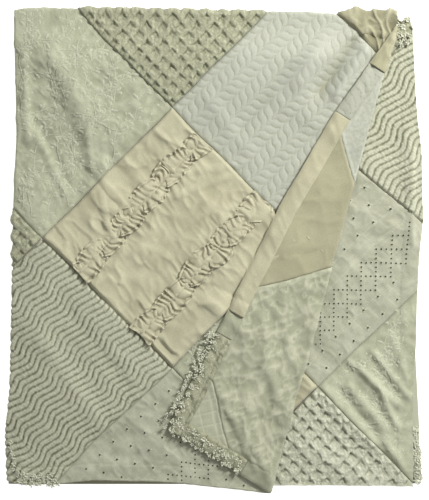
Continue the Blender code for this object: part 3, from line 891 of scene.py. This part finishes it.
def ruffleStrip(name, ends, seed):
    (x0, y0), (x1, y1) = ends
    run = math.hypot(x1 - x0, y1 - y0)
    dx, dy = (x1 - x0) / run, (y1 - y0) / run
    draw = np.random.default_rng(60 + seed)
    bm = bmesh.new()
    bmesh.ops.create_grid(bm, x_segments=int(run / 0.0014), y_segments=40, size=0.5)
    mesh = meshOf(bm, name)
    flat = coords(mesh)
    s, t = (flat[:, 0] + 0.5) * run, flat[:, 1] * 2
    side, near = np.where(t < 0, -1.0, 1.0), np.abs(t)
    u, wide, rise = np.zeros_like(s), np.full_like(s, 0.08), np.ones_like(s)
    for way in (-1, 1):  # scallops of uneven length along each edge
        start = -0.05 * draw.random()
        while start < run:
            length = draw.uniform(*ruffle["lobe"])
            here = (side == way) & (s >= start) & (s < start + length)
            u[here], wide[here], rise[here] = (s[here] - start) / length, length, draw.uniform(0.75, 1.15)
            start += length
    bulge = np.sin(np.pi * np.clip(u, 0.001, 0.999)) ** 0.45 * rise
    reach = side * near ** 0.94 * ruffle["half"] * (
        0.34 + 0.70 * bulge + 0.14 * (mottle(s, side * 0.03, 0.011, 44 + seed) - 0.5))
    phase = (s / ruffle["gather"] + 1.6 * mottle(s, s * 0, 0.045, 45 + seed) + 0.25 * t
             + 1.5 * mottle(s, t * 0.028, 0.019, 46 + seed))
    puffed = np.abs(np.sin(np.pi * phase)) ** 0.62
    deep = -0.05 + 1.70 * mottle(s, t * 0.034, 0.017, 50 + seed)
    gather = ruffle["crease"] * (0.50 + 0.65 * near) * (puffed - 0.75) * deep
    puff = ruffle["puff"] * np.sin(np.pi * np.clip(near, 0, 1) ** 0.75) ** 0.6 * (0.5 + 0.5 * bulge)
    rim = (0.0032 * near ** 5 * (0.5 + mottle(s, side * 0.2, 0.018, 52 + seed))
           + 0.0016 * np.exp(-((near - 0.95) / 0.05) ** 2) - 0.0014 * np.exp(-((near - 0.80) / 0.06) ** 2))
    over = 0.0060 * near ** 1.5 * (u - 0.5) * side
    lift = 0.0040 + puff + gather + rim + over - 0.0014 * np.exp(-(t / 0.06) ** 2)
    lift = np.maximum(lift, 0.0012 + 0.0006 * puffed) + 0.0006
    s2 = s + near ** 1.7 * (u - 0.5) * wide * 0.22 + 0.0018 * np.sin(2 * np.pi * phase) * near
    bend = 0.0016 * np.sin(s / 0.045 + seed) * (1 - near)
    x = x0 + dx * s2 - dy * (reach + bend)
    y = y0 + dy * s2 + dx * (reach + bend)
    a, b = toCloth(x, y, "front")
    setCoords(mesh, onCloth(a, b, lift))
    # painted shade: darker in the gather creases and in a line inside the rolled rims, over a random tone
    toneAndShade = (0.12 + 0.88 * (1 - np.clip(deep, 0, 1) * (1 - puffed ** 1.2)) * (0.80 + 0.20 * near)
            - 0.35 * np.exp(-((near - 0.80) / 0.07) ** 2) + 0.25 * (mottle(s, t * 0.02, 0.01, 54) - 0.5))
    dress(mesh, np.stack([s, reach], -1), np.clip(toneAndShade, 0, 1), ["ruffle"])
    mesh.flip_normals()
    obj = addPiece(mesh, name, ruffle["thick"])


ruffleStrip("gathered_ruffle_upper", ruffle["lines"][0], 0)
ruffleStrip("gathered_ruffle_lower", ruffle["lines"][1], 1)
print("ruffles")


def lay(bm, name, layer, centre, kind, shadeNames):
    # drapes a flat piece of needlework over its patch; z is its height over the cloth
    mesh = meshOf(bm, name)
    flat = coords(mesh)
    x, y, z = flat.T
    p, q = planeToLocal(x, y, centre)
    a, b = toCloth(x, y, layer)
    high = fabrics[kind][0](p, q)[0]
    setCoords(mesh, onCloth(a, b, high * 0.8 + z))
    dress(mesh, np.stack([p, q], -1), np.full(len(x), 0.8), shadeNames)
    return addPiece(mesh, name)


def localToPlane(p, q, centre):
    return centre[0] + (p + q) / math.sqrt(2), centre[1] + (p - q) / math.sqrt(2)


def petal(bm, x, y, angle, length, width, high, segments=7):
    # one leaf or petal of satin stitch, its foot at x, y
    turn = (Matrix.Translation((x, y, 0)) @ Matrix.Rotation(angle, 4, "Z")
            @ Matrix.Diagonal((length / 2, width / 2, 1, 1)) @ Matrix.Translation((1, 0, 0)))
    made = bmesh.ops.create_circle(
        bm, cap_ends=True, cap_tris=True, segments=segments, radius=1.0, matrix=turn)
    middle = max(made["verts"], key=lambda v: len(v.link_edges))
    middle.co.z = high


tuftHead = {"loops": 8, "size": (0.0062, 0.0088), "loop": (0.35, 0.60)}


def tuft(bm, x, y, z, size, draw):
    # a small head of looped pile
    for c in range(tuftHead["loops"]):
        tip = (Matrix.Translation((x, y, z)) @ Matrix.Rotation(c * 0.8 + draw.random(), 4, "Z")
               @ Matrix.Rotation(-0.15 - draw.random(), 4, "Y"))
        long = draw.uniform(*tuftHead["loop"])
        bmesh.ops.create_icosphere(
            bm, subdivisions=1, radius=size,
            matrix=tip @ Matrix.Translation((size * long, 0, 0)) @ Matrix.Diagonal((long, 0.22, 0.20, 1)))


def tufts(name, bands, layer, seed, wrong=False):
    # tufts scattered over bands in the flat layer
    draw = np.random.default_rng(seed)
    bm = bmesh.new()
    for (x0, y0), (x1, y1), many, rows, wide, z in bands:
        run = math.hypot(x1 - x0, y1 - y0)
        for i in range(many):
            for j in range(rows):
                s = (i + 0.5 + draw.uniform(-0.35, 0.35)) / many
                off = ((j + 0.5 + draw.uniform(-0.35, 0.35)) / rows - 0.5) * wide
                tuft(bm, x0 + (x1 - x0) * s - (y1 - y0) / run * off,
                     y0 + (y1 - y0) * s + (x1 - x0) / run * off,
                     z + draw.uniform(-0.001, 0.001), draw.uniform(*tuftHead["size"]), draw)
    mesh = meshOf(bm, name)
    x, y, z = coords(mesh).T
    a, b = toCloth(x, y, layer)
    setCoords(mesh, onCloth(a, b, -z if wrong else z))
    # painted shade: the lower loops are darker, the higher ones lighter
    dress(mesh, np.stack([x, y], -1),
          np.clip(0.60 + 110 * (z - z.mean()) + 0.3 * mottle(x, y, 0.003, 95), 0, 1), ["tuft"])
    if wrong:
        mesh.flip_normals()
    addPiece(mesh, name)


def inside(x, y, centre, margin):
    p, q = planeToLocal(x, y, centre)
    return max(abs(p), abs(q)) < half - margin


# Each stitched part: length, width, height; the stem's length is its stitch's,
# and a leaf's length varies from its first number by up to its second.
vine = {"rows": 19, "rowGap": 0.0220, "stitch": 0.0055, "stem": (0.0029, 0.0018),
        "leaf": (0.0140, 0.0060, 0.0070, 0.0023), "curl": (0.0064, 0.0019, 0.0009),
        "curlEnd": (0.0100, 0.0076, 0.0022), "stalk": (0.013, 0.0019, 0.0010),
        "bud": (0.0080, 0.0056, 0.0012)}


def vines(name, centre, layer, seed, keep):
    # stems that wander over the patch, with leaves to both sides, curls and buds
    draw = np.random.default_rng(seed)
    bm = bmesh.new()
    stepLong = vine["stitch"]
    for row in range(vine["rows"]):
        p, q = -half + 0.02 * draw.random(), -half + 0.004 + row * vine["rowGap"]
        bend, sway, lean = draw.random() * 6.3, 0.75 + 0.35 * draw.random(), 0.25 * (draw.random() - 0.5)
        for k in range(int(stack["blocks"] * 1.25 / stepLong)):
            heading = lean + sway * math.sin(bend + k * 0.17) + 0.35 * math.sin(k * 0.063 + row)
            p, q = p + stepLong * math.cos(heading), q + stepLong * math.sin(heading)
            x, y = localToPlane(p, q, centre)
            turn = math.pi / 4 - heading
            if not (inside(x, y, centre, 0.008) and keep(x, y)):
                continue
            petal(bm, x, y, turn, stepLong * 1.7, *vine["stem"], 5)
            side = 1 if (k // 4) % 2 else -1
            if k % 4 == 0:
                tilt = turn + side * (0.7 + 0.5 * draw.random())
                shortest, more, width, high = vine["leaf"]
                petal(bm, x, y, tilt, shortest + more * draw.random(), width, high, 8)
            if k % 9 == 4:
                tilt, ux, uy = turn + side * 1.0, x, y
                for c in range(6):
                    tilt -= side * 0.34
                    ux, uy = ux + 0.0046 * math.cos(tilt), uy + 0.0046 * math.sin(tilt)
                    petal(bm, ux, uy, tilt, *vine["curl"], 5)
                petal(bm, ux, uy, tilt - side * 0.5, *vine["curlEnd"], 9)
            if k % 9 == 0:
                tilt = turn - side * 1.3
                stalk = vine["stalk"][0]
                ux, uy = x + stalk * math.cos(tilt), y + stalk * math.sin(tilt)
                petal(bm, x, y, tilt, *vine["stalk"], 5)
                petal(bm, ux, uy, tilt, *vine["bud"], 7)
    lay(bm, name, layer, centre, "embroidered", ["thread"])


eyeletCloth = {"spacing": 0.0427, "row": 0.0334, "hole": 0.0021, "dot": 0.0099, "cell": 3,
               "smallHole": 0.0020, "rim": 0.0034, "petal": (0.0076, 0.0050, 0.0012),
               "band": 0.090, "toTuck": 0.0357, "tucks": (0.0, 0.0042, 0.0850, 0.0892),
               "tuckStitch": (0.0075, 0.0017, 0.0009), "tuckGap": 0.006}


def eyelets(name, centre, layer, keep, lastRow, phase, corner):
    # flowers about a hole in staggered rows, then a tuck, then stepped squares of small holes; every hole is
    # a dark disc of painted shadow
    bm, shadowDiscs = bmesh.new(), bmesh.new()
    spacing, rowGap, dot, cell = (eyeletCloth[k] for k in ("spacing", "row", "dot", "cell"))
    tuck = lastRow + eyeletCloth["toTuck"]
    for j in range(-9, 14):
        q = lastRow + j * rowGap + (eyeletCloth["band"] if j > 0 else 0)
        for i in range(-8, 9):
            p = i * spacing + phase + (spacing / 2 if j % 2 else 0)
            x, y = localToPlane(p, q, centre)
            if not (inside(x, y, centre, 0.012) and keep(x, y)):
                continue
            for c in range(4):
                petal(bm, x, y, 0.3 + c * math.pi / 2, *eyeletCloth["petal"], 6)
            bmesh.ops.create_circle(
                shadowDiscs, cap_ends=True, segments=8, radius=eyeletCloth["hole"],
                matrix=Matrix.Translation((x, y, 0.0017)))
    dots = set()
    for k in range(-16, 17):
        for i, j in ((k, k), (k + 1, k)):
            for m in range(cell + 1):
                dots |= {(i * cell + m, j * cell), (i * cell + m, (j + 1) * cell),
                         (i * cell, j * cell + m), ((i + 1) * cell, j * cell + m)}
    for m, n in sorted(dots):
        x, y = corner[0] + m * dot, corner[1] + n * dot
        if inside(x, y, centre, 0.006) and keep(x, y):
            bmesh.ops.create_circle(
                shadowDiscs, cap_ends=True, segments=6, radius=eyeletCloth["smallHole"],
                matrix=Matrix.Translation((x, y, 0.0010)))
            bmesh.ops.create_circle(
                bm, cap_ends=True, cap_tris=True, segments=7, radius=eyeletCloth["rim"],
                matrix=Matrix.Translation((x, y, 0.0004)))
    for q in [tuck + shift for shift in eyeletCloth["tucks"]]:  # fine tucks beside the band
        for k in range(-70, 70):
            x, y = localToPlane(k * eyeletCloth["tuckGap"], q, centre)
            if inside(x, y, centre, 0.003) and keep(x, y):
                petal(bm, x, y, math.pi / 4, *eyeletCloth["tuckStitch"], 5)
    lay(bm, name, layer, centre, "eyelet", ["thread"])
    lay(shadowDiscs, name + "_holes", layer, centre, "eyelet", ["hole"])


def frontShown(x, y):
    down = stack["headLine"] - y
    at, atDown, slope = stack["turn"][:3]
    return (x < hemLine(y) - 0.01 and y > footLine + 0.006 and x < at - slope * (down - atDown) - 0.02
            and x > stack["sideStart"] + along(leftFold, down) + 0.004 and y < 0.512)


def backShown(x, y):
    down = stack["headLine"] - y
    at, atDown, slope = stack["turn"][:3]
    return x < backEdge - 0.024 and y > backFoot + 0.006 and x > at - slope * (down - atDown) - 0.02


tuftBands = {  # start, end, number along, number across, width and height of each band
    "hem": (((0.4085, -0.285), (0.3905, -0.511), 22, 3, 0.036, 0.0022),
            ((0.388, footLine + 0.014), (0.205, footLine + 0.014), 18, 3, 0.034, 0.0022)),
    "head": (((0.402, 0.512), (0.428, 0.452), 6, 3, 0.032, 0.0040),
             ((0.430, 0.520), (0.442, 0.508), 2, 2, 0.014, 0.0050)),
    "foot": (((0.4425, -0.380), (0.4500, -0.497), 24, 3, 0.015, 0.0016),),
    "corner": (((-0.438, -0.499), (-0.345, -0.509), 10, 3, 0.026, 0.0030),
               ((-0.449, -0.420), (-0.442, -0.495), 6, 1, 0.004, 0.0020)),
}
tufts("tufts_hem", tuftBands["hem"], "front", 7, True)
tufts("tufts_head", tuftBands["head"], "back", 8)
tufts("tufts_foot", tuftBands["foot"], "lowest", 9, True)
tufts("tufts_corner", tuftBands["corner"], "front", 10)
vines("vines_left", square(-1, 0, frontFirst), "front", 3, frontShown)
vines("vines_turned", square(1, 2, frontFirst), "front", 4, frontShown)
vines("vines_behind", square(1, 0, backFirst), "back", 5, backShown)
eyelets("eyelets_front", square(0, 3, frontFirst), "front", frontShown, -0.0715, 0.0114, (-0.0429, -0.4686))
eyelets("eyelets_behind", square(0, -1, backFirst), "back", backShown, 0.0290, 0.0115, (0.2937, -0.0865))
print("needlework")


studio = {
    "lights": (("keyLight", (2.00, 1.80, 2.05), 0.8, 142), ("fillLight", (-2.0, 1.6, 2.6), 2.0, 10)),
    "world": 0.34, "floorGlow": 0.8, "floor": (0.9, 0.9, 0.89),
    "lens": 130, "sensor": 36, "seen": 1.1,  # metres seen from top to bottom
    "over": (0.00136, 0.0046), "cloth": 0.03,  # the camera's place, and the height of the cloth under it
}


def room():
    bm = bmesh.new()
    bmesh.ops.create_grid(bm, x_segments=1, y_segments=1, size=30)
    mesh = meshOf(bm, "floor")
    floor = bpy.data.objects.new("floor", mesh)
    bpy.context.scene.collection.objects.link(floor)
    floor.location.z = -0.0005
    shade = Shade("paleFloor")
    shade.surface.inputs["Base Color"].default_value = colour(*studio["floor"])
    shade.surface.inputs["Roughness"].default_value = 0.9
    shade.surface.inputs["Emission Color"].default_value = colour(1, 1, 1)
    shade.surface.inputs["Emission Strength"].default_value = studio["floorGlow"]
    mesh.materials.append(shade.material)
    world = bpy.data.worlds.new("world")
    bpy.context.scene.world = world
    world.use_nodes = True
    world.node_tree.nodes["Background"].inputs[0].default_value = (1, 1, 1, 1)
    world.node_tree.nodes["Background"].inputs[1].default_value = studio["world"]
    for name, place, size, power in studio["lights"]:
        light = bpy.data.lights.new(name, "AREA")
        light.size, light.energy = size, power
        lamp = bpy.data.objects.new(name, light)
        lamp.location = place
        lamp.rotation_euler = Vector(place).to_track_quat("Z", "Y").to_euler()
        bpy.context.scene.collection.objects.link(lamp)
    camera = bpy.data.cameras.new("camera")
    camera.sensor_width, camera.lens = studio["sensor"], studio["lens"]
    eye = bpy.data.objects.new("camera", camera)
    bpy.context.scene.collection.objects.link(eye)
    high = studio["seen"] / studio["sensor"] * studio["lens"]
    eye.location = (*studio["over"], high + studio["cloth"])
    bpy.context.scene.camera = eye
    bpy.context.scene.view_settings.view_transform = "Standard"


room()
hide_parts("spread", "ruffle_upper", "ruffle_lower")
